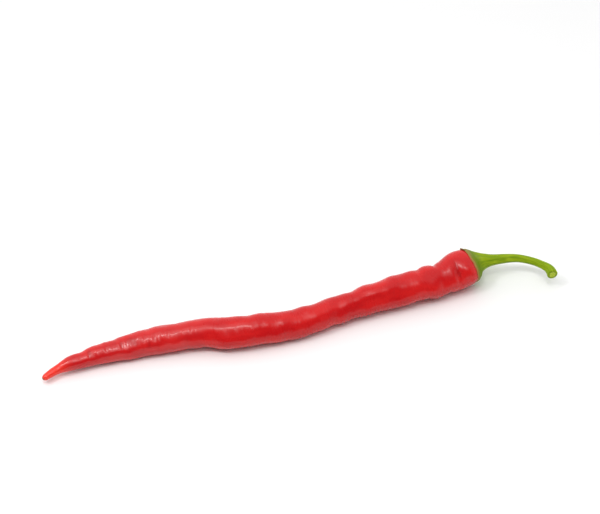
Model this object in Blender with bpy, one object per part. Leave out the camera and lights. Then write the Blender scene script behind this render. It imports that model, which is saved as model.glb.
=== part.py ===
"""A long slim red pepper as picked, lying on its side.

Two grown pieces: the wavy red pod, and the green calyx that runs on into the stem.
The pod points along +X from its tip to its crown, +Z is up, and it lies on the plane z = 0
on three small flats. Sizes are in millimetres, and MM turns them into metres.
Angles round the pod and the stem start at the top and turn towards the front (-Y).
"""

import math

import bmesh
import bpy
from mathutils import Vector

MM = 0.001
GAP = 0.3  # between the pod's crown and the calyx that sits on it

# The pod's lie: station along X, sideways place of its middle line, height of its underside.
TIP_X = -105.6
CROWN_X = 73.3
LIE = (
    (TIP_X, -1.2, 2.1),
    (-102.5, 0.4, 1.9),
    (-98.5, 2.0, 1.8),
    (-93.0, 3.0, 1.1),
    (-82.0, 4.0, 0.6),
    (-65.0, 4.3, -0.3),
    (-53.0, 3.4, 0.0),
    (-42.0, 2.0, 0.3),
    (-31.0, -1.3, 0.3),
    (-19.0, -3.1, 0.0),
    (-7.0, -3.8, -0.3),
    (4.5, -3.4, 0.1),
    (16.5, -1.5, 0.5),
    (41.0, 0.3, 0.4),
    (56.0, 1.0, 0.1),
    (65.5, 2.5, -0.35),
    (71.5, 3.4, 0.45),
    (CROWN_X, 3.7, 1.3),
)

# The pod's radius at stations along X.
GIRTH = (
    (TIP_X, 1.2),
    (-102.0, 1.6),
    (-98.5, 1.9),
    (-93.5, 3.0),
    (-87.5, 3.4),
    (-76.0, 4.4),
    (-59.0, 5.4),
    (-42.0, 5.8),
    (-30.0, 6.2),
    (-13.0, 6.2),
    (5.0, 5.7),
    (22.0, 5.7),
    (35.0, 6.25),
    (53.0, 6.6),
    (60.0, 6.8),
    (66.5, 7.7),
    (71.5, 7.5),
    (CROWN_X, 6.8),
)
TIP_ROUND = 1.5
CROWN_ROUND = 1.9

# The pod is soft three-sided under the crown, and rounds off towards the tip.
LOBES = 3
LOBE_DEPTH = 0.045
LOBE_REACH = 70.0
LOBE_TURN = math.radians(75)
LOBE_TWIST = math.radians(0.6)  # for each millimetre along the pod

# Slow swellings: height, wavelength along the pod, waves round it, phase.
SWELLINGS = (
    (0.16, 23.0, 1, 0.4),
    (0.14, 14.0, 2, 2.1),
    (0.10, 9.5, 1, 4.0),
    (0.07, 6.5, 3, 1.2),
)

# Dents (under zero) and bumps: station, angle, height, half length, half spread in degrees.
MARKS = (
    (-88.5, -45, -0.35, 2.5, 45),
    (-79.0, -45, 0.20, 2.2, 40),
    (-75.0, -45, -0.30, 2.2, 40),
    (-66.0, 130, 0.40, 3.5, 45),
    (-45.0, -45, -0.45, 3.5, 45),
    (-40.0, 130, -0.30, 1.8, 40),
    (-34.0, -45, 0.25, 3.5, 40),
    (-35.0, 130, 0.20, 3.0, 40),
    (-15.0, 130, -0.40, 4.0, 45),
    (10.5, 130, -0.45, 2.5, 45),
    (21.5, -45, -0.50, 2.5, 45),
    (31.5, -45, -0.35, 2.5, 45),
    (38.5, -45, 0.15, 2.5, 40),
    (50.5, -45, -0.50, 1.6, 45),
    (54.0, -45, 0.30, 2.2, 50),
    (58.4, -50, -0.75, 1.4, 55),
    (52.6, 128, -0.45, 1.4, 35),
    (56.8, 130, 0.45, 2.4, 40),
    (61.5, 125, -0.35, 1.3, 35),
    (60.5, 8, 0.40, 4.0, 25),
    (60.0, 52, -0.30, 4.0, 24),
    (61.6, 3, -0.32, 1.3, 16),
    (66.7, 22, -0.40, 1.1, 18),
    (65.6, 50, -0.95, 1.2, 22),
    (65.0, 86, -0.50, 1.3, 26),
    (58.3, 80, -0.25, 1.3, 24),
    (55.0, 84, 0.18, 1.5, 24),
    (69.9, 42, 0.75, 2.2, 26),
    (72.0, 75, 0.45, 2.4, 26),
    (-28.0, 47, -0.40, 17.0, 30),
    (-28.0, 91, 0.40, 17.0, 28),
    (32.0, 15, 0.50, 14.0, 30),
    (32.0, 57, -0.50, 14.0, 28),
    (66.0, 190, -0.30, 3.0, 40),
    (30.0, 235, -0.35, 3.5, 40),
    (-12.0, 250, -0.30, 5.0, 45),
    (-60.0, 245, 0.35, 5.0, 45),
)

# The calyx: its teeth start with the one that stands off, at the top and back of the crown.
RIM_THICK = 0.3
RIM_BACK = 0.45  # how far the rim reaches back past the crown's edge
COLLAR_RUN = 1.6  # over which the rim's shape turns into the round trumpet
TRUMPET_RUN = 8.0  # over which the rings turn from the pod's way to the stem's
TOOTH_LENGTHS = (0.35, 0.35, 0.3, 0.5, 0.5, 0.6)
TOOTH_TURN = math.radians(-45)
TOOTH_SPREAD = math.radians(24)
TOOTH_LIFT = 0.45  # how much the tip of the first tooth stands off the pod

# The calyx's trumpet and the stem it runs on into: middle line and radius, down to the cut.
STEM = (
    (CROWN_X, 3.7, 8.1, 7.4),
    (75.0, 4.0, 8.3, 6.5),
    (76.0, 4.2, 8.4, 5.6),
    (77.1, 4.3, 8.5, 4.75),
    (78.4, 4.3, 8.6, 3.95),
    (80.0, 4.15, 8.75, 3.2),
    (83.1, 3.7, 8.9, 2.35),
    (88.2, 2.9, 9.0, 1.9),
    (93.1, 1.7, 9.0, 1.65),
    (96.8, -0.1, 8.8, 1.55),
    (99.9, -2.3, 8.6, 1.55),
    (102.1, -4.5, 8.4, 1.6),
    (103.4, -6.4, 8.4, 1.8),
    (104.0, -8.4, 8.5, 2.05),
    (103.8, -11.3, 8.7, 2.2),
)
CUT_ROUND = 0.4
CUT_DISH = 0.25
STEM_RIBS = 6
RIB_HEIGHT = 0.045

POD_AROUND = 28
POD_STEP = 1.5
CAP_ROWS = 5
STEM_AROUND = 48
CROWN_ROWS = 4
COLLAR_ROWS = 4
STEM_ROWS = 26
CUT_ROWS = 4


def smooth_value(knots, column, at):
    """The cubic through a table's knots, whose slopes come from the neighbouring knots."""
    last = len(knots) - 1
    span = next((i for i in range(last) if at < knots[i + 1][0]), last - 1)

    def slope(i):
        before, after = knots[max(i - 1, 0)], knots[min(i + 1, last)]
        return (after[column] - before[column]) / (after[0] - before[0])

    start, end = knots[span], knots[span + 1]
    width = end[0] - start[0]
    t = min(max((at - start[0]) / width, 0.0), 1.0)
    return (
        (2 * t**3 - 3 * t**2 + 1) * start[column]
        + (t**3 - 2 * t**2 + t) * width * slope(span)
        + (3 * t**2 - 2 * t**3) * end[column]
        + (t**3 - t**2) * width * slope(span + 1)
    )


def section(point, along):
    """A cross-section's middle, the way it faces, and its up and front directions."""
    along = along.normalized()
    front = along.cross(Vector((0, 0, 1))).normalized()
    return point, along, front.cross(along), front


def section_at(line, at):
    """The cross-section of a middle line, square to the way it runs there."""
    return section(line(at), line(at + 0.5) - line(at - 0.5))


def ring_point(place, reach, turn):
    """A point at that reach and angle in a cross-section."""
    point, _, up, front = place
    return point + reach * (math.cos(turn) * up + math.sin(turn) * front)


def pod_line(x):
    """The pod's middle line, run on straight past both ends."""
    inside = min(max(x, TIP_X), CROWN_X)
    height = smooth_value(GIRTH, 1, inside) + smooth_value(LIE, 2, inside)
    point = Vector((inside, smooth_value(LIE, 1, inside), height))
    if x == inside:
        return point
    run_up = point - pod_line(inside - math.copysign(0.5, x - inside))
    return point + (x - inside) / run_up.x * run_up


def rounding(past, radius):
    """How much a round end draws the girth in, past its start."""
    share = min(max(past / radius, 0.0), 1.0)
    return math.sqrt(1 - share**2)


def turn_apart(one, other):
    """The angle between two turns, the short way round."""
    return (one - other + math.pi) % (2 * math.pi) - math.pi


def relief(x, turn):
    """The skin's swellings, dents and bumps, in millimetres."""
    fade = min(max((x - TIP_X) / 30.0, 0.0), 1.0)
    waves = sum(
        height * math.sin(2 * math.pi * x / length + phase) * math.cos(round_ * turn + phase)
        for height, length, round_, phase in SWELLINGS
    )
    marks = sum(
        height
        * math.exp(-(((x - place) / half) ** 2))
        * math.exp(-((math.degrees(turn_apart(turn, math.radians(angle))) / spread) ** 2))
        for place, angle, height, half, spread in MARKS
    )
    return fade * waves + marks


def pod_skin(x, turn):
    """A point of the pod's skin."""
    inside = min(max(x, TIP_X), CROWN_X)
    ends = rounding(TIP_X + TIP_ROUND - x, TIP_ROUND) * rounding(x - CROWN_X, CROWN_ROUND)
    lobes = LOBE_DEPTH * math.exp(-(CROWN_X - inside) / LOBE_REACH)
    lobes *= math.cos(LOBES * (turn - LOBE_TURN - LOBE_TWIST * (CROWN_X - inside)))
    reach = ends * (smooth_value(GIRTH, 1, inside) * (1 + lobes) + relief(inside, turn))
    return ring_point(section_at(pod_line, x), reach, turn)


def pod_rows():
    """The stations of the pod's rings, closer together round both ends."""
    quarter = [math.pi / 2 * i / CAP_ROWS for i in range(CAP_ROWS + 1)]
    body_start = TIP_X + TIP_ROUND
    body_rows = round((CROWN_X - body_start) / POD_STEP)
    tip = [body_start - TIP_ROUND * math.cos(angle) for angle in quarter]
    body = [body_start + (CROWN_X - body_start) * i / body_rows for i in range(1, body_rows)]
    crown = [CROWN_X + CROWN_ROUND * math.sin(angle) for angle in quarter]
    return tip + body + crown


def wrapped_sphere(around, rows, place):
    """A UV sphere whose rings are moved to their places: place(row, angle) gives millimetres."""
    shape = bmesh.new()
    bmesh.ops.create_uvsphere(shape, u_segments=around, v_segments=rows, radius=1)
    for vertex in shape.verts:
        row = round(math.acos(max(-1.0, min(1.0, vertex.co.z))) / math.pi * rows)
        vertex.co = place(row, math.atan2(vertex.co.y, vertex.co.x)) * MM
    bmesh.ops.recalc_face_normals(shape, faces=shape.faces)
    return shape


def level_underside(shape):
    """Cuts the flats that the pod rests on, where its skin dips under the surface."""
    everything = shape.verts[:] + shape.edges[:] + shape.faces[:]
    bmesh.ops.bisect_plane(
        shape,
        geom=everything,
        dist=1e-7,
        plane_co=(0, 0, 0),
        plane_no=(0, 0, -1),
        clear_outer=True,
    )
    open_edges = [edge for edge in shape.edges if edge.is_boundary]
    bmesh.ops.holes_fill(shape, edges=open_edges, sides=0)
    bmesh.ops.recalc_face_normals(shape, faces=shape.faces)


def make_pod():
    """The pod: one wavy body from its round tip to its flat crown."""
    stations = pod_rows()
    shape = wrapped_sphere(
        POD_AROUND, len(stations) - 1, lambda row, turn: pod_skin(stations[row], turn)
    )
    level_underside(shape)
    return shape


def over_pod(reach, turn, lift):
    """A point that much over the pod's skin.

    The reach runs from 0 at the crown's centre to 1 at its edge, and then adds the millimetres
    back along the shoulder.
    """
    slope = min(reach, 1) * math.pi / 2
    x = CROWN_X + CROWN_ROUND * math.cos(slope) - max(reach - 1, 0)
    point = pod_skin(x, turn)
    place = section_at(pod_line, x)
    outward = ring_point(place, 1, turn) - place[0]
    away = CROWN_ROUND * math.sin(slope) * outward
    away += smooth_value(GIRTH, 1, CROWN_X) * math.cos(slope) * place[1]
    return point + lift * away.normalized()


def tooth(turn):
    """How far the calyx's rim and teeth reach back past the crown's edge at an angle."""
    pitch = 2 * math.pi / len(TOOTH_LENGTHS)
    reach = RIM_BACK
    for i, length in enumerate(TOOTH_LENGTHS):
        aside = abs(turn_apart(turn, TOOTH_TURN + i * pitch)) / TOOTH_SPREAD
        reach += length * max(1 - aside, 0) ** 1.3
    return reach


def with_runs(stations):
    """Puts in front of each station how far along the line it lies."""
    run, knots = 0.0, [(0.0, *stations[0])]
    for before, after in zip(stations, stations[1:]):
        run += (Vector(after[:3]) - Vector(before[:3])).length
        knots.append((run, *after))
    return knots


STEM_KNOTS = with_runs(STEM)
STEM_LENGTH = STEM_KNOTS[-1][0]
CROWN_AXIS = section_at(pod_line, CROWN_X)[1]


def stem_line(run):
    """The stem's middle line, run on straight past both ends."""
    inside = min(max(run, 0.0), STEM_LENGTH)
    point = Vector([smooth_value(STEM_KNOTS, column, inside) for column in (1, 2, 3)])
    ends = STEM[-2:] if run > inside else STEM[:2]
    return point + (run - inside) * (Vector(ends[1][:3]) - Vector(ends[0][:3])).normalized()


def stem_skin(run, turn, drawn_in=1.0):
    """A point of the trumpet and the stem, whose soft ribs fade out at the cut."""
    radius = smooth_value(STEM_KNOTS, 4, min(max(run, 0.0), STEM_LENGTH))
    ribs = RIB_HEIGHT * min((STEM_LENGTH - run) / 8, 1) * math.cos(STEM_RIBS * turn)
    point, along, _, _ = section_at(stem_line, run)
    along = CROWN_AXIS.lerp(along, min(run / TRUMPET_RUN, 1))
    return ring_point(section(point, along), radius * (1 - ribs) * drawn_in, turn)


def over_tooth(part, turn, lift):
    """A point over the shoulder, that part of the way from the crown's edge to a tooth's end."""
    back = part * tooth(turn)
    first = math.exp(-((turn_apart(turn, TOOTH_TURN) / TOOTH_SPREAD) ** 2))
    return over_pod(1 + back, turn, lift + TOOTH_LIFT * part**2 * first)


def collar(run, turn):
    """The calyx's outside where it leaves the pod and turns into the trumpet."""
    edge = over_pod(1, turn, GAP + RIM_THICK)
    edge += run * CROWN_AXIS
    share = run / COLLAR_RUN
    return edge.lerp(stem_skin(run, turn), share * share * (3 - 2 * share))


def stem_cut(share, turn):
    """The stem's end: its rounded edge, and then the dished cut face in to the centre."""
    slope = min(share * 2, 1) * math.pi / 2
    inward = max(share * 2 - 1, 0)
    run = STEM_LENGTH - CUT_ROUND * (1 - math.sin(slope)) - CUT_DISH * inward
    return stem_skin(run, turn, (1 - 0.2 * (1 - math.cos(slope))) * (1 - inward))


def calyx_and_stem_rings():
    """The rings from the crown's centre out to the teeth, back over them, and along the stem."""
    stem_run = STEM_LENGTH - CUT_ROUND - COLLAR_RUN
    inside = [(over_pod, i / CROWN_ROWS, GAP) for i in range(CROWN_ROWS + 1)]
    inside += [(over_tooth, 0.5, GAP), (over_tooth, 1, GAP)]
    outside = [(over_tooth, part, GAP + RIM_THICK) for part in (1, 0.5, 0)]
    outside += [(collar, COLLAR_RUN * i / COLLAR_ROWS) for i in range(1, COLLAR_ROWS)]
    outside += [
        (stem_skin, COLLAR_RUN + stem_run * (i / STEM_ROWS) ** 1.2) for i in range(STEM_ROWS + 1)
    ]
    return inside + outside + [(stem_cut, i / CUT_ROWS) for i in range(1, CUT_ROWS + 1)]


def make_calyx_and_stem():
    """The calyx over the crown and the stem that grows out of it, in one body."""
    rings = calyx_and_stem_rings()

    def place(row, turn):
        surface, at, *lift = rings[row]
        return surface(at, turn, *lift)

    return wrapped_sphere(STEM_AROUND, len(rings) - 1, place)


def skin_material(name, colour, roughness):
    """A plain finish for one piece."""
    material = bpy.data.materials.new(name)
    material.use_nodes = True
    shader = material.node_tree.nodes["Principled BSDF"]
    shader.inputs["Base Color"].default_value = (*colour, 1)
    shader.inputs["Roughness"].default_value = roughness
    shader.inputs["Metallic"].default_value = 0
    return material


def add_piece(name, shape, material):
    """Puts a finished shape into the scene as one smooth-shaded object."""
    mesh = bpy.data.meshes.new(name)
    shape.to_mesh(mesh)
    shape.free()
    mesh.shade_smooth()
    mesh.materials.append(material)
    piece = bpy.data.objects.new(name, mesh)
    bpy.context.scene.collection.objects.link(piece)
    return piece


def main():
    """Clears the scene and builds the pepper."""
    for leftover in list(bpy.data.objects):
        bpy.data.objects.remove(leftover)
    add_piece("pod", make_pod(), skin_material("red_skin", (0.58, 0.012, 0.013), 0.3))
    add_piece(
        "calyx_and_stem",
        make_calyx_and_stem(),
        skin_material("green_stem", (0.22, 0.33, 0.03), 0.5),
    )


main()
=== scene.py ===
"""The looks of a long slim red pepper that lies on its side.

The glossy pod, and the toothed calyx that runs on into a thin curved stem, are grown again over
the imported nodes, with the fine wrinkles, ribs and fibres of the real thing. Shapes are worked out
in millimetres, with +X from the pod's tip to its crown and +Z up, and MM turns them into metres.
Angles round the pod and the stem start at the top and turn towards the front (-Y).
"""

from __future__ import annotations

import logging
import math
from collections.abc import Callable
from dataclasses import dataclass, field
from enum import Enum
from functools import partial
from typing import Any

import bmesh
import bpy
import numpy as np
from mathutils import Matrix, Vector, noise


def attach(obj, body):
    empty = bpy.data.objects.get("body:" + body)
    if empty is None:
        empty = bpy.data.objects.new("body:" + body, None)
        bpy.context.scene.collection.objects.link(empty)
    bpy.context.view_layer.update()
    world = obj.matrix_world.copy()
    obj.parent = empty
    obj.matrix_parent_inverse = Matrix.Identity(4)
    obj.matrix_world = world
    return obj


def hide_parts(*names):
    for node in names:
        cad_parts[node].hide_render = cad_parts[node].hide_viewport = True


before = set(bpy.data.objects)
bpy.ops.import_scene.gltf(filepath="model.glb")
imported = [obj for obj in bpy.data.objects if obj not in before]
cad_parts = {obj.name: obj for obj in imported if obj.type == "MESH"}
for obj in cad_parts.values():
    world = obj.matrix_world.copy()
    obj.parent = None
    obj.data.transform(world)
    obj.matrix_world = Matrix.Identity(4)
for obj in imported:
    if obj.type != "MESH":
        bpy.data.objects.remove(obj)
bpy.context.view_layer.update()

LOG = logging.getLogger("pepper")
MM = 0.001
LOOK = 0.5  # how far ahead and behind a line is read for its direction, in millimetres
LEVEL = 1e-7  # how near to level a point counts as on the surface, in metres

Array = np.ndarray
Colour = tuple[float, float, float]
Sizes = tuple[float, float, float]
Span = tuple[float, float]
Stations = tuple[tuple[float, ...], ...]


# ---- Curves, sections and noise --------------------------


@dataclass(frozen=True)
class Profile:
    """A smooth curve through stations, each of which has its place first and then its values."""

    stations: Stations

    def at(self, place: float, column: int = 1) -> float:
        """Reads a value between the stations, on a cubic whose slopes come from their neighbours.

        Args:
            place: Where to read, held between the first and the last station.
            column: Which of the stations' values to read.

        Returns:
            The value there.
        """
        knots, last = self.stations, len(self.stations) - 1
        span = next((i for i in range(last) if place < knots[i + 1][0]), last - 1)

        def slope(i: int) -> float:
            """The curve's slope at a station."""
            before, after = knots[max(i - 1, 0)], knots[min(i + 1, last)]
            return (after[column] - before[column]) / (after[0] - before[0])

        start, end = knots[span], knots[span + 1]
        width = end[0] - start[0]
        t = min(max((place - start[0]) / width, 0.0), 1.0)
        return (
            (2 * t**3 - 3 * t**2 + 1) * start[column]
            + (t**3 - 2 * t**2 + t) * width * slope(span)
            + (3 * t**2 - 2 * t**3) * end[column]
            + (t**3 - t**2) * width * slope(span + 1)
        )


@dataclass(frozen=True)
class Section:
    """A cross-section: its middle, the way it faces, and its up and front directions."""

    middle: Array
    along: Array
    up: Array
    front: Array

    @classmethod
    def facing(cls, middle: Array, along: Array) -> Section:
        """Sets a section square to a direction.

        Args:
            middle: The section's middle.
            along: The way it faces, of any length.

        Returns:
            The section.
        """
        along = unit(along)
        front = unit(np.cross(along, (0.0, 0.0, 1.0)))
        return cls(middle, along, np.cross(front, along), front)

    def outward(self, turn: Array) -> Array:
        """The directions from the middle outwards at angles round the section."""
        return np.outer(np.cos(turn), self.up) + np.outer(np.sin(turn), self.front)

    def ring(self, reach: Array | float, turn: Array) -> Array:
        """The points at a reach from the middle, at angles round the section."""
        return self.middle + np.reshape(reach, (-1, 1)) * self.outward(turn)


def unit(vectors: Array) -> Array:
    """Vectors of the same directions with a length of one."""
    return vectors / np.linalg.norm(vectors, axis=-1, keepdims=True)


def smooth_step(value: Array | float, low: float, high: float) -> Array:
    """Rises smoothly from 0 at the low value to 1 at the high one."""
    share = np.clip((value - low) / (high - low), 0.0, 1.0)
    return share * share * (3 - 2 * share)


def turn_apart(one: Array | float, other: Array | float) -> Array:
    """The angles between two turns, the short way round."""
    return (one - other + math.pi) % (2 * math.pi) - math.pi


def bell(distance: Array | float, width: float) -> Array:
    """A smooth hill: 1 in its middle, fading out over about that width to either side."""
    return np.exp(-((distance / width) ** 2))


def wander(points: Array, stretch: Sizes, seed: float = 0.0) -> Array:
    """Reads smooth noise.

    Args:
        points: Where to read it, in millimetres.
        stretch: The size of the noise's lumps along each axis, in millimetres.
        seed: Picks another stretch of the same noise.

    Returns:
        A value between about -1 and 1 at each point.
    """
    places = points / np.array(stretch) + seed
    return np.array([noise.noise(place) for place in places.tolist()])


# ---- Grown skins -----------------------------------------


@dataclass(frozen=True)
class Ring:
    """One ring of a grown skin."""

    place: Array  # the points, in millimetres
    grain: Array  # where each point lies in the patterns of the finish
    marks: Array  # up to three shares from 0 to 1 that the finish reads at each point


class Layer(Enum):
    """The names under which a mesh keeps what its finish reads."""

    GRAIN = "grain"
    MARKS = "marks"


@dataclass
class GrownSkin:
    """A closed skin that is wrapped ring by ring over a form."""

    name: str
    node: str
    slot: str
    around: int
    rings: list[Callable[[Array], Ring]]
    levelled: bool = False

    def build(self, material: bpy.types.Material) -> bpy.types.Object:
        """Makes the skin's object and lets it stand for its node.

        Args:
            material: The skin's finish.

        Returns:
            The finished object, which rides on the root body.
        """
        shape = self.wrapped()
        if self.levelled:
            self.level(shape)
        bmesh.ops.recalc_face_normals(shape, faces=shape.faces)
        mesh = bpy.data.meshes.new(self.name)
        shape.to_mesh(mesh)
        shape.free()
        mesh.shade_smooth()
        mesh.materials.append(material)
        piece = bpy.data.objects.new(self.name, mesh)
        bpy.context.scene.collection.objects.link(piece)
        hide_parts(self.node)
        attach(piece, "root")
        return piece

    def wrapped(self) -> bmesh.types.BMesh:
        """Moves each ring of a sphere to its place on the form.

        Returns:
            The closed shape, in metres, with its two layers.
        """
        shape = bmesh.new()
        last = len(self.rings) - 1
        bmesh.ops.create_uvsphere(shape, u_segments=self.around, v_segments=last, radius=1.0)
        grain = shape.verts.layers.float_vector.new(Layer.GRAIN.value)
        marks = shape.verts.layers.float_vector.new(Layer.MARKS.value)
        shape.verts.ensure_lookup_table()
        sphere = np.array([vertex.co for vertex in shape.verts])
        rows = np.rint(np.arccos(np.clip(sphere[:, 2], -1, 1)) / math.pi * last).astype(int)
        turns = np.arctan2(sphere[:, 1], sphere[:, 0])
        order = np.argsort(rows, kind="stable")
        members_of = np.split(order, np.searchsorted(rows[order], range(1, last + 1)))
        for members, ring in zip(members_of, self.rings):
            made = ring(turns[members])
            lists = ((made.place * MM).tolist(), made.grain.tolist(), made.marks.tolist())
            for i, place, lies, marked in zip(members.tolist(), *lists):
                vertex = shape.verts[i]
                vertex.co = place
                vertex[grain] = lies
                vertex[marks] = marked
        return shape

    @staticmethod
    def level(shape: bmesh.types.BMesh) -> None:
        """Cuts the small flats on which the skin rests.

        Args:
            shape: The skin, which dips a little under the surface where it rests.
        """
        bmesh.ops.bisect_plane(
            shape,
            geom=shape.verts[:] + shape.edges[:] + shape.faces[:],
            dist=LEVEL,
            plane_co=(0, 0, 0),
            plane_no=(0, 0, -1),
            clear_outer=True,
        )
        open_edges = [edge for edge in shape.edges if edge.is_boundary]
        bmesh.ops.holes_fill(shape, edges=open_edges, sides=0)


# ---- The pod ---------------------------------------------


@dataclass(frozen=True)
class Mark:
    """A dent (under zero) or a bump in the pod's skin."""

    x: float
    angle: float
    height: float
    half_length: float
    half_spread: float

    def relief(self, x: float, turn: Array) -> Array:
        """The mark's height round a station.

        Args:
            x: The station.
            turn: The angles, in radians.

        Returns:
            The height at each angle, in millimetres.
        """
        if abs(x - self.x) > 4 * self.half_length:  # the bell has faded away
            return np.zeros(len(turn))
        apart = np.degrees(turn_apart(turn, math.radians(self.angle)))
        return self.height * bell(x - self.x, self.half_length) * bell(apart, self.half_spread)


@dataclass(frozen=True)
class Swelling:
    """A slow wave that runs along the pod and round it."""

    height: float
    length: float
    waves_round: int
    phase: float

    def relief(self, x: float, turn: Array) -> Array:
        """The wave's height at angles round a station, in millimetres."""
        along = math.sin(2 * math.pi * x / self.length + self.phase)
        return self.height * along * np.cos(self.waves_round * turn + self.phase)


@dataclass(frozen=True)
class Wrinkles:
    """Small creases that run mostly across the pod, over one stretch of it."""

    height: float
    stretch: Span  # the size of a crease along the pod and round it
    start: float
    end: float
    fade: float
    seed: float

    def share(self, x: float) -> float:
        """How strong the wrinkles are at a station, from 0 to 1."""
        rise = smooth_step(x, self.start - self.fade, self.start + self.fade)
        return float(rise * (1 - smooth_step(x, self.end - self.fade, self.end + self.fade)))

    def relief(self, x: float, grain: Array) -> Array:
        """The wrinkles' height on a ring.

        Args:
            x: The ring's station.
            grain: Where its points lie in the pattern of the wrinkles.

        Returns:
            The height at each point, in millimetres.
        """
        share = self.share(x)
        if share == 0.0:
            return np.zeros(len(grain))
        along, across = self.stretch
        return share * self.height * wander(grain, (along, across, across), self.seed)


@dataclass
class Pod:
    """The wavy red pod, from its thin round tip to its crown."""

    # station along X, sideways place of the middle line, height of the underside
    lie: Profile = Profile(
        (
            (-105.6, -1.2, 2.1), (-102.5, 0.4, 1.9), (-98.5, 2.0, 1.8), (-93.0, 3.0, 1.1),
            (-82.0, 4.0, 0.6), (-65.0, 4.3, -0.3), (-53.0, 3.4, 0.0), (-42.0, 2.0, 0.3),
            (-31.0, -1.3, 0.3), (-19.0, -3.1, 0.0), (-7.0, -3.8, -0.3), (4.5, -3.4, 0.1),
            (16.5, -1.5, 0.5), (41.0, 0.3, 0.4), (56.0, 1.0, 0.1), (65.5, 2.5, -0.35),
            (71.5, 3.4, 0.45), (73.3, 3.7, 1.3),
        )
    )
    girth: Profile = Profile(
        (
            (-105.6, 1.2), (-102.0, 1.6), (-98.5, 1.9), (-93.5, 3.0), (-87.5, 3.4),
            (-76.0, 4.4), (-59.0, 5.4), (-42.0, 5.8), (-30.0, 6.2), (-13.0, 6.2), (5.0, 5.7),
            (22.0, 5.7), (35.0, 6.25), (53.0, 6.6), (60.0, 6.8), (66.5, 7.7), (71.5, 7.5),
            (73.3, 6.8),
        )
    )
    tip_round: float = 1.5
    crown_round: float = 1.9
    lobes: int = 3
    lobe_depth: float = 0.045
    lobe_reach: float = 70.0
    lobe_turn: float = math.radians(75)
    lobe_twist: float = math.radians(0.6)  # for each millimetre
    swelling_fade: float = 30.0  # how far behind the tip the swellings reach their full height
    swellings: tuple[Swelling, ...] = (
        Swelling(0.16, 23.0, 1, 0.4),
        Swelling(0.14, 14.0, 2, 2.1),
        Swelling(0.10, 9.5, 1, 4.0),
        Swelling(0.07, 6.5, 3, 1.2),
    )
    marks: tuple[Mark, ...] = (
        Mark(-88.5, -45, -0.35, 2.5, 45), Mark(-79.0, -45, 0.20, 2.2, 40),
        Mark(-75.0, -45, -0.30, 2.2, 40), Mark(-66.0, 130, 0.40, 3.5, 45),
        Mark(-45.0, -45, -0.45, 3.5, 45), Mark(-40.0, 130, -0.30, 1.8, 40),
        Mark(-34.0, -45, 0.25, 3.5, 40), Mark(-35.0, 130, 0.20, 3.0, 40),
        Mark(-15.0, 130, -0.40, 4.0, 45), Mark(10.5, 130, -0.45, 2.5, 45),
        Mark(21.5, -45, -0.50, 2.5, 45), Mark(31.5, -45, -0.35, 2.5, 45),
        Mark(38.5, -45, 0.15, 2.5, 40), Mark(50.5, -45, -0.50, 1.6, 45),
        Mark(54.0, -45, 0.30, 2.2, 50), Mark(58.4, -50, -0.75, 1.4, 55),
        Mark(52.6, 128, -0.45, 1.4, 35), Mark(56.8, 130, 0.45, 2.4, 40),
        Mark(61.5, 125, -0.35, 1.3, 35), Mark(60.5, 8, 0.40, 4.0, 25),
        Mark(60.0, 52, -0.30, 4.0, 24), Mark(61.6, 3, -0.32, 1.3, 16),
        Mark(66.7, 22, -0.40, 1.1, 18), Mark(65.6, 50, -0.95, 1.2, 22),
        Mark(65.0, 86, -0.50, 1.3, 26), Mark(58.3, 80, -0.25, 1.3, 24),
        Mark(55.0, 84, 0.18, 1.5, 24), Mark(69.9, 42, 0.75, 2.2, 26),
        Mark(72.0, 75, 0.45, 2.4, 26), Mark(-28.0, 47, -0.40, 17.0, 30),
        Mark(-28.0, 91, 0.40, 17.0, 28), Mark(32.0, 15, 0.50, 14.0, 30),
        Mark(32.0, 57, -0.50, 14.0, 28), Mark(66.0, 190, -0.30, 3.0, 40),
        Mark(30.0, 235, -0.35, 3.5, 40), Mark(-12.0, 250, -0.30, 5.0, 45),
        Mark(-60.0, 245, 0.35, 5.0, 45),
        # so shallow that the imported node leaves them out
        Mark(-70.0, 32, -0.22, 15.0, 20),
        Mark(63.5, 14, 0.22, 3.0, 16),
    )
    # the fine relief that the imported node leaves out
    creases: tuple[Mark, ...] = (
        Mark(66.4, 18, -0.16, 0.5, 18),
        Mark(66.0, 48, -0.20, 0.5, 20),
    )
    wrinkles: tuple[Wrinkles, ...] = (
        Wrinkles(0.22, (3.0, 4.6), -88.0, -53.0, 7.0, 3.1),
        Wrinkles(0.17, (1.4, 4.2), -90.0, -48.0, 8.0, 7.7),
        Wrinkles(0.05, (0.65, 3.0), -92.0, -44.0, 8.0, 17.3),
        Wrinkles(0.09, (1.7, 5.0), -50.0, 4.0, 8.0, 12.3),
        Wrinkles(0.07, (5.0, 7.0), -80.0, 74.0, 10.0, 21.9),
        Wrinkles(0.02, (1.1, 3.5), -40.0, 74.0, 8.0, 33.5),
    )
    wrinkle_angle: float = math.radians(15)  # where the wrinkles are strongest
    wrinkle_spread: float = math.radians(55)
    wrinkle_rest: float = 0.3  # what is left of them far from there
    # the finish paints shade into the creases over this range of fine relief
    fine_range: float = 0.36  # from the highest to the lowest fine relief that the finish tells
    ripple_height: float = 0.16
    ripple_length: float = 1.85
    ripple_middle: float = 25.0
    ripple_reach: float = 8.5
    ripple_angle: float = math.radians(132)
    ripple_spread: float = math.radians(38)
    around: int = 96
    row_step: float = 0.2
    cap_rows: int = 12

    @property
    def tip_x(self) -> float:
        """The station where the tip starts to round off."""
        return self.lie.stations[0][0]

    @property
    def crown_x(self) -> float:
        """The station where the crown starts to round off."""
        return self.lie.stations[-1][0]

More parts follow.
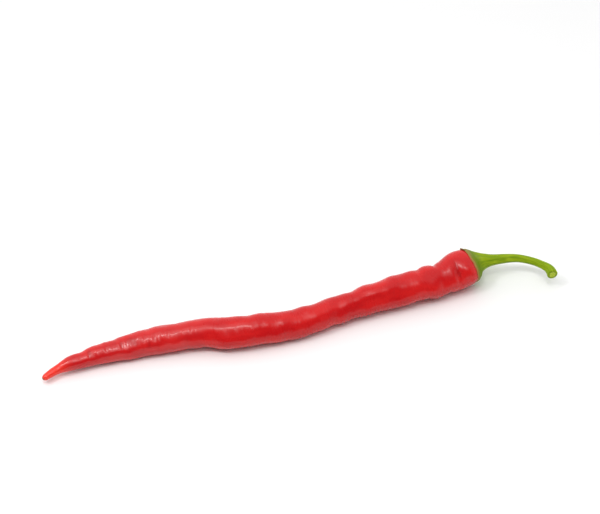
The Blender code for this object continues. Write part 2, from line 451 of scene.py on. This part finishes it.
    def line(self, x: float) -> Array:
        """Follows the pod's middle line, which runs on straight past both ends.

        Args:
            x: The station.

        Returns:
            The line's point there, in millimetres.
        """
        inside = min(max(x, self.tip_x), self.crown_x)
        height = self.girth.at(inside) + self.lie.at(inside, 2)
        point = np.array((inside, self.lie.at(inside, 1), height))
        if x == inside:
            return point
        run_up = point - self.line(inside - math.copysign(LOOK, x - inside))
        return point + (x - inside) / run_up[0] * run_up

    def section(self, x: float) -> Section:
        """The cross-section at a station, square to the middle line."""
        return Section.facing(self.line(x), self.line(x + LOOK) - self.line(x - LOOK))

    def ends(self, x: float) -> float:
        """How much of the girth the round ends leave.

        Args:
            x: The station.

        Returns:
            The share that is left: 1 between the ends, and 0 at their poles.
        """
        past_tip = min(max((self.tip_x + self.tip_round - x) / self.tip_round, 0.0), 1.0)
        past_crown = min(max((x - self.crown_x) / self.crown_round, 0.0), 1.0)
        return math.sqrt(1 - past_tip**2) * math.sqrt(1 - past_crown**2)

    def form(self, x: float, turn: Array) -> Array:
        """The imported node's reach from the middle line.

        Args:
            x: The station.
            turn: The angles round it.

        Returns:
            The reach at each angle, in millimetres.
        """
        inside = min(max(x, self.tip_x), self.crown_x)
        to_crown = self.crown_x - inside
        depth = self.lobe_depth * math.exp(-to_crown / self.lobe_reach)
        lobed = depth * np.cos(self.lobes * (turn - self.lobe_turn - self.lobe_twist * to_crown))
        fade = min((inside - self.tip_x) / self.swelling_fade, 1.0)
        waves = sum(swelling.relief(inside, turn) for swelling in self.swellings)
        marks = sum(mark.relief(inside, turn) for mark in self.marks)
        return self.ends(x) * (self.girth.at(inside) * (1 + lobed) + fade * waves + marks)

    def ripples(self, x: float, turn: Array) -> Array:
        """The height of the row of short ripples low on the front.

        Args:
            x: The station.
            turn: The angles round it.

        Returns:
            The height at each angle, in millimetres.
        """
        wave = math.cos(2 * math.pi * (x - self.ripple_middle) / self.ripple_length)
        spread = bell(turn_apart(turn, self.ripple_angle), self.ripple_spread)
        return self.ripple_height * bell(x - self.ripple_middle, self.ripple_reach) * wave * spread

    def ring(self, x: float, turn: Array) -> Ring:
        """Makes a ring of the finished skin.

        Args:
            x: The station.
            turn: The angles of the ring's points.

        Returns:
            The ring.
        """
        reach = self.form(x, turn)
        along = np.full(len(turn), x)
        grain = np.column_stack((along, reach * np.cos(turn), reach * np.sin(turn)))
        strong = bell(turn_apart(turn, self.wrinkle_angle), self.wrinkle_spread)
        fine = sum(wrinkle.relief(x, grain) for wrinkle in self.wrinkles)
        fine = fine * (self.wrinkle_rest + (1 - self.wrinkle_rest) * strong)
        fine = fine + self.ripples(x, turn)
        fine = fine + sum(shaded_crease.relief(x, turn) for shaded_crease in self.creases)
        # how deep the fine relief sinks, which the finish darkens as painted shade in the creases
        crease_shade_mask = np.clip(0.5 - fine / self.fine_range, 0.0, 1.0)
        place = self.section(x).ring(reach + self.ends(x) * fine, turn)
        return Ring(place, grain, np.column_stack((crease_shade_mask, np.zeros((len(turn), 2)))))

    def stations(self) -> list[float]:
        """Places the rings.

        Returns:
            Their stations, which stand closer together round both ends.
        """
        quarter = [math.pi / 2 * i / self.cap_rows for i in range(self.cap_rows + 1)]
        start = self.tip_x + self.tip_round
        rows = round((self.crown_x - start) / self.row_step)
        tip = [start - self.tip_round * math.cos(angle) for angle in quarter]
        body = [start + (self.crown_x - start) * i / rows for i in range(1, rows)]
        crown = [self.crown_x + self.crown_round * math.sin(angle) for angle in quarter]
        return tip + body + crown

    def build(self, finish: SkinFinish) -> bpy.types.Object:
        """Makes the pod and dresses it.

        Args:
            finish: The glossy red skin.

        Returns:
            The pod's object.
        """
        rings = [partial(self.ring, x) for x in self.stations()]
        grown = GrownSkin("pod_skin", "pod", "red_skin", self.around, rings, levelled=True)
        return grown.build(finish.material(self))


# ---- The calyx and the stem ------------------------------


@dataclass
class CalyxAndStem:
    """The green calyx over the pod's crown, and the stem that grows out of it."""

    pod: Pod
    gap: float = 0.3
    rim_thick: float = 0.3
    rim_back: float = 0.45
    collar_run: float = 1.6
    trumpet_run: float = 8.0
    tooth_lengths: tuple[float, ...] = (0.35, 0.35, 0.3, 0.5, 0.5, 0.6)
    tooth_turn: float = math.radians(-45)
    tooth_spread: float = math.radians(24)
    tooth_bend: float = 1.3  # over 1, teeth narrow and the first one lifts off in a curve
    tooth_lift: float = 0.45
    edge_thinning: Span = (0.6, 0.45)  # from which share of a tooth on, and by how much
    hug: float = 0.25  # how close the rim comes to the pod, in millimetres under the gap
    hug_by: float = 0.8  # the share of a tooth by which it does
    edge_reach: float = 4.0  # how far from the rim's edge the finish can tell
    # the middle line and the radius, from the crown to the cut
    stem: Stations = (
        (73.3, 3.7, 8.1, 7.4), (75.0, 4.0, 8.3, 6.5), (76.0, 4.2, 8.4, 5.6),
        (77.1, 4.3, 8.5, 4.75), (78.4, 4.3, 8.6, 3.95), (80.0, 4.15, 8.75, 3.2),
        (83.1, 3.7, 8.9, 2.35), (88.2, 2.9, 9.0, 1.9), (93.1, 1.7, 9.0, 1.65),
        (96.8, -0.1, 8.8, 1.55), (99.9, -2.3, 8.6, 1.55), (102.1, -4.5, 8.4, 1.6),
        (103.4, -6.4, 8.4, 1.8), (104.0, -8.4, 8.5, 2.05), (103.8, -11.3, 8.7, 2.2),
    )
    cut_round: float = 0.4
    cut_draw: float = 0.2  # how much the rounded edge draws the cut in
    cut_dish: float = 0.25
    cut_slope: float = 0.7  # the share of the way in over which the dish sinks
    ribs: int = 6
    rib_height: float = 0.045
    rib_fade: float = 8.0
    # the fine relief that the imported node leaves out
    fibre_height: float = 0.035
    fibre_size: Sizes = (9.0, 0.16, 0.16)  # along the stem, and as a share of its radius
    fibre_seed: float = 5.5
    fibre_rise: float = 3.0  # how far past the collar the fibres reach their full height
    ragged: float = 0.20  # how uneven the rim's edge is
    ragged_size: Sizes = (0.22, 0.22, 1.0)  # as a share of the calyx's radius
    ragged_seed: float = 9.1
    around: int = 160
    crown_rows: int = 10
    tooth_rows: int = 8
    collar_rows: int = 12
    stem_rows: int = 200
    cut_rows: int = 24
    path: Profile = field(init=False)
    crown: Section = field(init=False)

    def __post_init__(self) -> None:
        """Measures the stem's line, and how the crown faces."""
        run, stations = 0.0, [(0.0, *self.stem[0])]
        for before, after in zip(self.stem, self.stem[1:]):
            run += math.dist(before[:3], after[:3])
            stations.append((run, *after))
        self.path = Profile(tuple(stations))
        self.crown = self.pod.section(self.pod.crown_x)

    @property
    def length(self) -> float:
        """How long the stem's middle line is."""
        return self.path.stations[-1][0]

    def line(self, run: float) -> Array:
        """Follows the stem's middle line, which runs on straight past both ends.

        Args:
            run: How far along the line.

        Returns:
            The line's point there, in millimetres.
        """
        inside = min(max(run, 0.0), self.length)
        point = np.array([self.path.at(inside, column) for column in (1, 2, 3)])
        ends = self.stem[-2:] if run > inside else self.stem[:2]
        return point + (run - inside) * unit(np.array(ends[1][:3]) - np.array(ends[0][:3]))

    def section(self, run: float) -> Section:
        """Cuts the stem across.

        Args:
            run: How far along its line.

        Returns:
            The section, which turns from the way the crown faces to the stem's own.
        """
        along = unit(self.line(run + LOOK) - self.line(run - LOOK))
        share = min(run / self.trumpet_run, 1.0)
        return Section.facing(self.line(run), (1 - share) * self.crown.along + share * along)

    def reach(self, run: float, turn: Array) -> Array:
        """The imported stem's reach from its middle line.

        Args:
            run: How far along the line.
            turn: The angles round it.

        Returns:
            The reach at each angle, in millimetres.
        """
        radius = self.path.at(min(max(run, 0.0), self.length), 4)
        fade = min((self.length - run) / self.rib_fade, 1.0)
        return radius * (1 - self.rib_height * fade * np.cos(self.ribs * turn))

    def fibres(self, run: float, turn: Array) -> Array:
        """The height of the fine fibres that run along the stem."""
        grain = np.column_stack((np.full(len(turn), run), np.cos(turn), np.sin(turn)))
        return self.fibre_height * wander(grain, self.fibre_size, self.fibre_seed)

    def tooth(self, turn: Array) -> Array:
        """Shapes the rim with its teeth.

        Args:
            turn: The angles round the crown.

        Returns:
            How far back past the crown's edge it reaches at each angle, in millimetres.
        """
        pitch = 2 * math.pi / len(self.tooth_lengths)
        back = np.full(len(turn), self.rim_back)
        for i, length in enumerate(self.tooth_lengths):
            aside = np.abs(turn_apart(turn, self.tooth_turn + i * pitch)) / self.tooth_spread
            back = back + length * np.clip(1 - aside, 0, None) ** self.tooth_bend
        circle = np.column_stack((np.cos(turn), np.sin(turn), np.zeros(len(turn))))
        return back + self.ragged * wander(circle, self.ragged_size, self.ragged_seed)

    def over_pod(self, back: Array, turn: Array, lift: Array | float) -> Array:
        """The points over the pod's crown.

        Args:
            back: For each angle, 0 at the crown's centre to 1 at its edge, plus the millimetres
                back along the shoulder.
            turn: The angles round the pod.
            lift: How far over the pod's skin, in millimetres.

        Returns:
            The points, in millimetres.
        """
        place = np.empty((len(turn), 3))
        lifts = np.broadcast_to(lift, turn.shape)
        for reach in np.unique(back).tolist():
            here = back == reach
            slope = min(reach, 1.0) * math.pi / 2
            x = self.pod.crown_x + self.pod.crown_round * math.cos(slope) - max(reach - 1, 0.0)
            section = self.pod.section(x)
            away = self.pod.crown_round * math.sin(slope) * section.outward(turn[here])
            away = away + self.pod.girth.at(self.pod.crown_x) * math.cos(slope) * section.along
            skin = section.ring(self.pod.form(x, turn[here]), turn[here])
            place[here] = skin + lifts[here][:, None] * unit(away)
        return place

    def ring(
        self,
        turn: Array,
        place: Array,
        run: Array | float,
        from_edge: Array | float,
        inner: float = 0.0,
        pith: float = 0.0,
    ) -> Ring:
        """Gathers a ring.

        Args:
            turn: The angles of its points.
            place: The points, in millimetres.
            run: How far along the stem they lie, under 0 on the calyx's teeth and inside.
            from_edge: How far from the rim's edge they lie, in millimetres.
            inner: 1 on the calyx's inside, 0 elsewhere.
            pith: 0 outside the cut face, rising to 1 at its centre.

        Returns:
            The ring.
        """
        edge = np.clip(from_edge / self.edge_reach, 0.0, 1.0)
        grain = np.column_stack(np.broadcast_arrays(run, np.cos(turn), np.sin(turn)))
        marks = np.column_stack(np.broadcast_arrays(inner, edge, pith, turn)[:3])
        return Ring(place, grain, marks)

    def inside_ring(self, share: float, turn: Array) -> Ring:
        """Makes a ring of the inside.

        Args:
            share: Where it lies, from the crown's centre (0) to its edge (1).
            turn: The angles of the ring's points.

        Returns:
            The ring.
        """
        place = self.over_pod(np.full(len(turn), share), turn, self.gap)
        return self.ring(turn, place, -share, 1.0, inner=1.0)

    def tooth_ring(self, outside: bool, share: float, turn: Array) -> Ring:
        """Makes a ring over the shoulder.

        Args:
            outside: Whether it lies on the outside of the teeth.
            share: Where it lies, from the crown's edge (0) to the rim's (1).
            turn: The angles of the ring's points.

        Returns:
            The ring.
        """
        tooth = self.tooth(turn)
        back = share * tooth
        thin_from, thinning = self.edge_thinning
        edge_thin = 1 - thinning * smooth_step(share, thin_from, 1.0)
        thick = self.rim_thick * edge_thin if outside else 0.0
        long_tooth = bell(turn_apart(turn, self.tooth_turn), self.tooth_spread)
        lift = self.gap + thick + self.tooth_lift * share**self.tooth_bend * long_tooth
        lift = lift - self.hug * smooth_step(share, 0.0, self.hug_by) * (1 - long_tooth)
        place = self.over_pod(1 + back, turn, lift)
        return self.ring(turn, place, -back, tooth - back, inner=0.0 if outside else 1.0)

    def stem_ring(self, run: float, turn: Array) -> Ring:
        """Makes a ring of the calyx's collar, the trumpet or the stem.

        Args:
            run: How far along the stem's line.
            turn: The angles of the ring's points.

        Returns:
            The ring.
        """
        grown = smooth_step(run, self.collar_run, self.collar_run + self.fibre_rise)
        reach = self.reach(run, turn) + grown * self.fibres(run, turn)
        place = self.section(run).ring(reach, turn)
        if run < self.collar_run:  # the collar, where the calyx turns into the round trumpet
            edge = self.over_pod(np.ones(len(turn)), turn, self.gap + self.rim_thick)
            share = smooth_step(run, 0.0, self.collar_run)
            place = (1 - share) * (edge + run * self.crown.along) + share * place
        return self.ring(turn, place, run, self.tooth(turn) + run)

    def cut_ring(self, share: float, turn: Array) -> Ring:
        """Makes a ring of the cut end, whose first third is the rounded edge.

        Args:
            share: Where it lies, from the edge's start (0) to the cut's centre (1).
            turn: The angles of the ring's points.

        Returns:
            The ring.
        """
        slope = min(share * 3, 1.0) * math.pi / 2
        inward = max(share * 1.5 - 0.5, 0.0)
        dish = self.cut_dish * float(smooth_step(inward, 0.0, self.cut_slope))
        run = self.length - self.cut_round * (1 - math.sin(slope)) - dish
        drawn_in = (1 - self.cut_draw * (1 - math.cos(slope))) * (1 - inward)
        reach = self.reach(run, turn) + (1 - inward) * self.fibres(run, turn)
        place = self.section(run).ring(drawn_in * reach, turn)
        return self.ring(turn, place, run, self.edge_reach, pith=inward)

    def rings(self) -> list[Callable[[Array], Ring]]:
        """Lists the rings.

        Returns:
            Their makers, from the crown's centre out to the teeth, back over them, to the cut.
        """
        out = [i / self.tooth_rows for i in range(1, self.tooth_rows + 1)]
        collar = [self.collar_run * i / self.collar_rows for i in range(1, self.collar_rows)]
        step = (self.length - self.cut_round - self.collar_run) / self.stem_rows
        stem = [self.collar_run + step * i for i in range(self.stem_rows + 1)]
        places = (
            (self.inside_ring, [i / self.crown_rows for i in range(self.crown_rows + 1)]),
            (partial(self.tooth_ring, False), out),
            (partial(self.tooth_ring, True), [*reversed(out), 0.0]),
            (self.stem_ring, collar + stem),
            (self.cut_ring, [i / self.cut_rows for i in range(1, self.cut_rows + 1)]),
        )
        return [partial(maker, place) for maker, row in places for place in row]

    def build(self, finish: StemFinish) -> bpy.types.Object:
        """Makes the calyx and stem and dresses them.

        Args:
            finish: The green skin of the calyx and the stem.

        Returns:
            The object.
        """
        name, node = "calyx_and_stem_skin", "calyx_and_stem"
        grown = GrownSkin(name, node, "green_stem", self.around, self.rings())
        return grown.build(finish.material(self))


# ---- Finishes --------------------------------------------


@dataclass(frozen=True)
class Wire:
    """An output in a node graph, on which arithmetic adds Math nodes."""

    graph: Graph
    socket: bpy.types.NodeSocket

    def maths(self, operation: str, *values: Wire | float) -> Wire:
        """Adds one Math node over this wire and others."""
        return self.graph.maths(operation, self, *values)

    def __add__(self, other: Wire | float) -> Wire:
        """This plus another."""
        return self.maths("ADD", other)

    def __radd__(self, other: float) -> Wire:
        """A number plus this."""
        return self.graph.maths("ADD", other, self)

    def __sub__(self, other: Wire | float) -> Wire:
        """This less another."""
        return self.maths("SUBTRACT", other)

    def __rsub__(self, other: float) -> Wire:
        """A number less this."""
        return self.graph.maths("SUBTRACT", other, self)

    def __mul__(self, other: Wire | float) -> Wire:
        """This times another."""
        return self.maths("MULTIPLY", other)

    def __rmul__(self, other: float) -> Wire:
        """A number times this."""
        return self.graph.maths("MULTIPLY", other, self)

    def held(self) -> Wire:
        """This, held between 0 and 1."""
        return self.graph.add("ShaderNodeClamp", sockets={"Value": self}, output="Result")


@dataclass(frozen=True)
class Graph:
    """A node tree, to which one method adds any node."""

    tree: bpy.types.NodeTree

    @classmethod
    def of(cls, owner: bpy.types.Material | bpy.types.World) -> Graph:
        """The node tree of a new material or world, with the nodes that it starts with."""
        owner.use_nodes = True
        return cls(owner.node_tree)

    def add(
        self,
        kind: str,
        settings: dict[str, Any] | None = None,
        sockets: dict[str | int, Any] | None = None,
        output: str | int = 0,
    ) -> Wire:
        """Adds a node.

        Args:
            kind: The node's type.
            settings: Its own settings, which are made first.
            sockets: The values or the wires of its sockets, by name or by number.
            output: Which of its outputs to return.

        Returns:
            The output's wire.
        """
        node = self.tree.nodes.new(kind)
        for name, value in (settings or {}).items():
            setattr(node, name, value)
        self.feed(node, sockets or {})
        return Wire(self, node.outputs[output])

    def feed(self, node: bpy.types.Node, sockets: dict[str | int, Any]) -> None:
        """Links wires and sets values on a node's sockets.

        Args:
            node: The node.
            sockets: The values or the wires, by the sockets' names or numbers.
        """
        for name, value in sockets.items():
            socket = node.inputs[name]
            if isinstance(value, Wire):
                self.tree.links.new(value.socket, socket)
            elif socket.type == "RGBA" and len(value) == 3:
                socket.default_value = (*value, 1.0)
            else:
                socket.default_value = value

    def maths(self, operation: str, *values: Wire | float) -> Wire:
        """Adds a Math node."""
        return self.add("ShaderNodeMath", {"operation": operation}, dict(enumerate(values)))

    def attribute(self, layer: Layer) -> Wire:
        """Reads one of a grown skin's layers."""
        return self.add("ShaderNodeAttribute", {"attribute_name": layer.value}, output="Vector")

    def parts(self, vector: Wire) -> tuple[Wire, Wire, Wire]:
        """Takes a vector apart.

        Args:
            vector: The vector.

        Returns:
            Its three components.
        """
        split = self.add("ShaderNodeSeparateXYZ", sockets={"Vector": vector}, output="X")
        outputs = split.socket.node.outputs
        return split, Wire(self, outputs["Y"]), Wire(self, outputs["Z"])

    def stretched(self, vector: Wire, sizes: Sizes) -> Wire:
        """Divides a vector by a size along each axis."""
        sockets = {0: vector, 1: sizes}
        return self.add("ShaderNodeVectorMath", {"operation": "DIVIDE"}, sockets)

    def noise(self, vector: Wire, sizes: Sizes, detail: float = 2.0) -> Wire:
        """Reads noise with lumps of a size along each axis, between 0 and 1."""
        sockets = {"Vector": self.stretched(vector, sizes), "Scale": 1.0, "Detail": detail}
        return self.add("ShaderNodeTexNoise", sockets=sockets, output="Fac")

    def step(self, value: Wire, low: float, high: float) -> Wire:
        """Rises smoothly, as smooth_step does.

        Args:
            value: What is read.
            low: The value up to which the result is 0.
            high: The value from which it is 1.

        Returns:
            The result.
        """
        sockets = {"Value": value, "From Min": low, "From Max": high}
        settings = {"interpolation_type": "SMOOTHSTEP"}
        return self.add("ShaderNodeMapRange", settings, sockets, "Result")

    def blend(self, share: Wire, one: Wire | Colour, other: Wire | Colour) -> Wire:
        """Mixes two colours: the first where the share is 0, the second where it is 1."""
        sockets = {0: share, 6: one, 7: other}
        return self.add("ShaderNodeMix", {"data_type": "RGBA"}, sockets, 2)

    def bump(self, height: Wire, depth: float) -> Wire:
        """Turns heights between 0 and 1 into the normal of bumps of a depth, in metres."""
        sockets = {"Height": height, "Distance": depth, "Strength": 1.0}
        return self.add("ShaderNodeBump", sockets=sockets, output="Normal")

    def finish(self, sockets: dict[str | int, Any]) -> None:
        """Feeds the Principled shader."""
        self.feed(self.tree.nodes["Principled BSDF"], sockets)


@dataclass(frozen=True)
class SkinFinish:
    """The pod's waxy red skin, with shade painted into its fine creases."""

    name: str = "waxy_red_skin"
    deep: Colour = (0.54, 0.006, 0.008)
    light: Colour = (0.64, 0.012, 0.012)
    # painted shade: a darker red laid into the fine creases, where shade falls
    shaded_crease: Colour = (0.42, 0.004, 0.006)
    tip: Colour = (0.88, 0.040, 0.020)
    tip_edge: Colour = (0.86, 0.032, 0.016)
    scar: Colour = (0.36, 0.08, 0.03)
    tip_clear: float = 4.5  # how far from its end the tip stays pale
    tip_fade: float = 13.0  # how far from its end the last of the pale is gone
    tip_uneven: float = 6.0  # by how much that differs round the pod
    scar_size: float = 0.2
    mottle_size: Sizes = (14.0, 5.0, 5.0)
    mottle_range: Span = (0.35, 0.68)
    # where and how strongly the painted crease shade darkens the skin
    crease_shade_range: Span = (0.55, 1.0)
    crease_shade_share: float = 0.7
    speck_size: Sizes = (0.9, 0.9, 0.9)
    speck_range: Span = (0.60, 0.75)
    speck_share: float = 0.35
    dull_size: Sizes = (3.0, 6.0, 6.0)
    pore_size: Sizes = (0.35, 0.6, 0.6)
    pore_depth: float = 0.00003
    roughness: float = 0.27
    roughness_spread: float = 0.12
    thin_end: Span = (-52.0, -34.0)  # where the thin third's duller skin ends
    thin_roughness: float = 0.08
    thin_coat: float = 0.22
    ior: float = 1.34
    coat: float = 0.15
    coat_roughness: float = 0.18

    def material(self, pod: Pod) -> bpy.types.Material:
        """Makes the finish.

        Args:
            pod: The pod that wears it, whose stations place the pale tip and its scar.

        Returns:
            The material.
        """
        material = bpy.data.materials.new(self.name)
        graph = Graph.of(material)
        grain = graph.attribute(Layer.GRAIN)
        along, _, _ = graph.parts(grain)
        shaded_crease, _, _ = graph.parts(graph.attribute(Layer.MARKS))
        mottle = graph.noise(grain, self.mottle_size, detail=3.0)
        specks = graph.noise(grain, self.speck_size)
        colour = graph.blend(graph.step(mottle, *self.mottle_range), self.deep, self.light)
        # painted shade: the skin darkens where its fine relief sinks into creases
        crease_shade = graph.step(shaded_crease, *self.crease_shade_range) * self.crease_shade_share
        colour = graph.blend(crease_shade, colour, self.shaded_crease)
        specked = graph.step(specks, *self.speck_range) * self.speck_share
        colour = graph.blend(specked, colour, self.light)
        start = pod.tip_x
        uneven = along + (mottle - 0.5) * self.tip_uneven
        far = graph.step(uneven, start + self.tip_clear, start + self.tip_fade)
        near = graph.step(uneven, start, start + self.tip_clear)
        tip = graph.blend(near, self.tip, self.tip_edge)
        colour = graph.blend(far, tip, colour)
        scarred = graph.step(along, start + self.scar_size, start + 2 * self.scar_size)
        colour = graph.blend(scarred, self.scar, colour)
        dull = graph.noise(grain, self.dull_size)
        thin = 1.0 - graph.step(along, *self.thin_end)
        roughness = self.roughness + (dull - 0.5) * self.roughness_spread
        roughness = roughness + thin * self.thin_roughness
        pores = graph.noise(grain, self.pore_size)
        graph.finish(
            {
                "Base Color": colour,
                "Roughness": roughness.held(),
                "IOR": self.ior,
                "Coat Weight": (self.coat + thin * self.thin_coat).held(),
                "Coat Roughness": self.coat_roughness,
                "Normal": graph.bump(pores, self.pore_depth),
            }
        )
        return material


@dataclass(frozen=True)
class StemFinish:
    """The green skin of the calyx and the stem, and the stem's paler cut."""

    name: str = "fibrous_green_skin"
    stem: Colour = (0.285, 0.385, 0.009)
    fibre: Colour = (0.165, 0.275, 0.006)
    pale: Colour = (0.39, 0.51, 0.020)
    calyx: Colour = (0.135, 0.220, 0.003)
    rim: Colour = (0.40, 0.19, 0.06)
    brim: Colour = (0.25, 0.21, 0.06)
    inner: Colour = (0.42, 0.46, 0.16)
    cut: Colour = (0.58, 0.72, 0.06)
    cut_ring: Colour = (0.22, 0.29, 0.03)
    strand_size: Sizes = (7.0, 0.16, 0.16)
    strand_range: Span = (0.38, 0.62)
    patch_size: Sizes = (5.0, 0.9, 0.9)
    patch_range: Span = (0.50, 0.80)
    patch_share: float = 0.6
    calyx_start: float = 0.8  # how far along the calyx's darker green starts to give way
    calyx_end: float = 0.7  # and where it has, as a share of the trumpet
    rim_range: Span = (0.10, 0.22)  # from the edge, as shares of the finish's reach
    brim_range: Span = (0.28, 0.50)
    brim_facing: Span = (0.50, 0.85)  # the brim is strongest round the first tooth
    brim_rest: float = 0.3  # what is left of it elsewhere
    ring_range: Span = (0.0, 0.15)  # from the cut's edge (0) to its centre (1)
    flesh_range: Span = (0.10, 0.45)
    vein_range: Span = (0.45, 0.62)
    vein_share: float = 0.75
    pore_size: Sizes = (0.6, 0.09, 0.09)
    pore_depth: float = 0.00004
    roughness: float = 0.50
    roughness_spread: float = 0.14
    ior: float = 1.15
    coat: float = 0.04
    coat_roughness: float = 0.25

    def material(self, green: CalyxAndStem) -> bpy.types.Material:
        """Makes the finish.

        Args:
            green: The calyx and stem that wear it, whose runs place the change of green.

        Returns:
            The material.
        """
        material = bpy.data.materials.new(self.name)
        graph = Graph.of(material)
        grain = graph.attribute(Layer.GRAIN)
        run, round_up, round_front = graph.parts(grain)
        inner, from_edge, pith = graph.parts(graph.attribute(Layer.MARKS))
        strands = graph.noise(grain, self.strand_size, detail=3.0)
        patches = graph.noise(grain, self.patch_size)
        colour = graph.blend(graph.step(strands, *self.strand_range), self.fibre, self.stem)
        patched = graph.step(patches, *self.patch_range) * self.patch_share
        colour = graph.blend(patched, colour, self.pale)
        grown = graph.step(run, self.calyx_start, green.trumpet_run * self.calyx_end)
        colour = graph.blend(grown, self.calyx, colour)
        colour = graph.blend(graph.step(from_edge, *self.rim_range), self.rim, colour)
        facing = round_up * math.cos(green.tooth_turn) + round_front * math.sin(green.tooth_turn)
        aged = self.brim_rest + graph.step(facing, *self.brim_facing) * (1 - self.brim_rest)
        aged = aged * (1.0 - graph.step(from_edge, *self.brim_range))
        colour = graph.blend(aged, colour, self.brim)
        colour = graph.blend(inner, colour, self.inner)
        colour = graph.blend(graph.step(pith, *self.ring_range), colour, self.cut_ring)
        veins = graph.step(strands, *self.vein_range) * self.vein_share
        flesh = graph.step(pith, *self.flesh_range) * (1.0 - veins)
        colour = graph.blend(flesh, colour, self.cut)
        pores = graph.noise(grain, self.pore_size)
        graph.finish(
            {
                "Base Color": colour,
                "Roughness": (self.roughness + (patches - 0.5) * self.roughness_spread).held(),
                "IOR": self.ior,
                "Coat Weight": self.coat,
                "Coat Roughness": self.coat_roughness,
                "Normal": graph.bump(pores, self.pore_depth),
            }
        )
        return material


# ---- The studio ------------------------------------------


@dataclass(frozen=True)
class Lamp:
    """A rectangular soft lamp that faces the pepper."""

    name: str
    place: tuple[float, float, float]
    width: float
    depth: float
    brightness: float  # against the wall's

    def build(self) -> None:
        """Makes the lamp."""
        light = bpy.data.lights.new(self.name, "AREA")
        light.shape = "RECTANGLE"
        light.size, light.size_y = self.width, self.depth
        light.energy = self.brightness * math.pi * self.width * self.depth
        lamp = bpy.data.objects.new(self.name, light)
        lamp.location = self.place
        lamp.rotation_euler = (-Vector(self.place)).to_track_quat("-Z", "Y").to_euler()
        bpy.context.scene.collection.objects.link(lamp)


@dataclass(frozen=True)
class Studio:
    """The pale floor, the soft light and the camera."""

    aim: tuple[float, float, float] = (0.0107, 0.0370, 0.0)
    azimuth: float = math.radians(-17.0)
    elevation: float = math.radians(45.0)
    distance: float = 0.70
    lens: float = 100.0
    sensor: float = 36.0
    floor_size: float = 6.0
    floor_drop: float = 0.0001
    floor_colour: Colour = (0.92, 0.92, 0.92)
    floor_roughness: float = 0.7
    floor_ior: float = 1.3
    wall_behind: float = 0.93
    wall_beside: float = 1.00
    wall_before: float = 0.06
    ceiling: float = 0.92
    ceiling_edge: Span = (0.74, 0.82)  # as a sine of the angle up
    before_width: Span = (0.70, 0.92)  # half of it, as a sine of the angle aside
    before_depth: Span = (-0.20, 0.10)  # where it gives way, as a sine of the angle behind
    lamps: tuple[Lamp, ...] = (
        Lamp("small_lamp", (-0.10, -0.26, 0.76), 0.18, 0.08, 24.0),
        Lamp("left_lamp", (-0.46, -0.08, 0.72), 0.16, 0.14, 20.0),
        Lamp("front_lamp", (0.05, -0.45, 0.71), 0.28, 0.30, 2.6),
        Lamp("broad_lamp", (-0.17, -0.02, 0.78), 0.42, 0.60, 1.15),
    )

    @property
    def backwards(self) -> Vector:
        """The way from what the camera looks at back to the camera.

        Returns:
            The direction, with a length of one.
        """
        level = math.cos(self.elevation)
        sideways, before = math.sin(self.azimuth) * level, math.cos(self.azimuth) * level
        return Vector((sideways, -before, math.sin(self.elevation)))

    def build(self) -> None:
        """Sets up the floor, the light and the camera."""
        self.build_floor()
        self.build_walls()
        for lamp in self.lamps:
            lamp.build()
        self.build_camera()

    def build_floor(self) -> None:
        """Makes the pale floor."""
        shape = bmesh.new()
        bmesh.ops.create_grid(shape, x_segments=1, y_segments=1, size=self.floor_size / 2)
        bmesh.ops.translate(shape, verts=shape.verts, vec=(0, 0, -self.floor_drop))
        mesh = bpy.data.meshes.new("floor")
        shape.to_mesh(mesh)
        shape.free()
        material = bpy.data.materials.new("pale_floor")
        sockets = {"Base Color": self.floor_colour, "Roughness": self.floor_roughness}
        Graph.of(material).finish({**sockets, "IOR": self.floor_ior})
        mesh.materials.append(material)
        floor = bpy.data.objects.new("floor", mesh)
        bpy.context.scene.collection.objects.link(floor)

    def build_walls(self) -> None:
        """Lights the pepper from far pale walls, brighter behind it than before it."""
        world = bpy.data.worlds.new("walls")
        bpy.context.scene.world = world
        graph = Graph.of(world)
        looking = graph.add("ShaderNodeTexCoord", output="Generated")
        away = (-math.sin(self.azimuth), math.cos(self.azimuth), 0.0)
        aside = (away[1], -away[0], 0.0)
        settings = {"operation": "DOT_PRODUCT"}
        behind = graph.add("ShaderNodeVectorMath", settings, {0: looking, 1: away}, "Value")
        beside = graph.add("ShaderNodeVectorMath", settings, {0: looking, 1: aside}, "Value")
        side = graph.step(graph.maths("ABSOLUTE", beside), *self.before_width)
        ahead = self.wall_before + side * (self.wall_beside - self.wall_before)
        back = self.wall_behind + side * (self.wall_beside - self.wall_behind)
        share = graph.step(behind, *self.before_depth)
        walls = ahead + share * (back - ahead)
        _, _, height = graph.parts(looking)
        above = graph.step(height, *self.ceiling_edge)
        strength = walls + above * (self.ceiling - walls)
        sockets = {"Color": (1.0, 1.0, 1.0), "Strength": strength}
        graph.feed(world.node_tree.nodes["Background"], sockets)

    def build_camera(self) -> None:
        """Makes the camera at the photograph's viewing angle."""
        data = bpy.data.cameras.new("camera")
        data.lens = self.lens
        data.sensor_fit = "HORIZONTAL"
        data.sensor_width = self.sensor
        camera = bpy.data.objects.new("camera", data)
        camera.location = Vector(self.aim) + self.distance * self.backwards
        camera.rotation_euler = self.backwards.to_track_quat("Z", "Y").to_euler()
        bpy.context.scene.collection.objects.link(camera)
        bpy.context.scene.camera = camera


# ---- Putting it together ---------------------------------


def main() -> None:
    """Builds the pepper piece by piece, and the studio round it."""
    logging.basicConfig(level=logging.INFO, format="%(name)s: %(message)s")
    pod = Pod()
    for piece in (pod.build(SkinFinish()), CalyxAndStem(pod).build(StemFinish())):
        LOG.info("%s: %d faces", piece.name, len(piece.data.polygons))
    Studio().build()
    bpy.context.scene.view_settings.view_transform = "Standard"


if __name__ == "__main__":
    main()
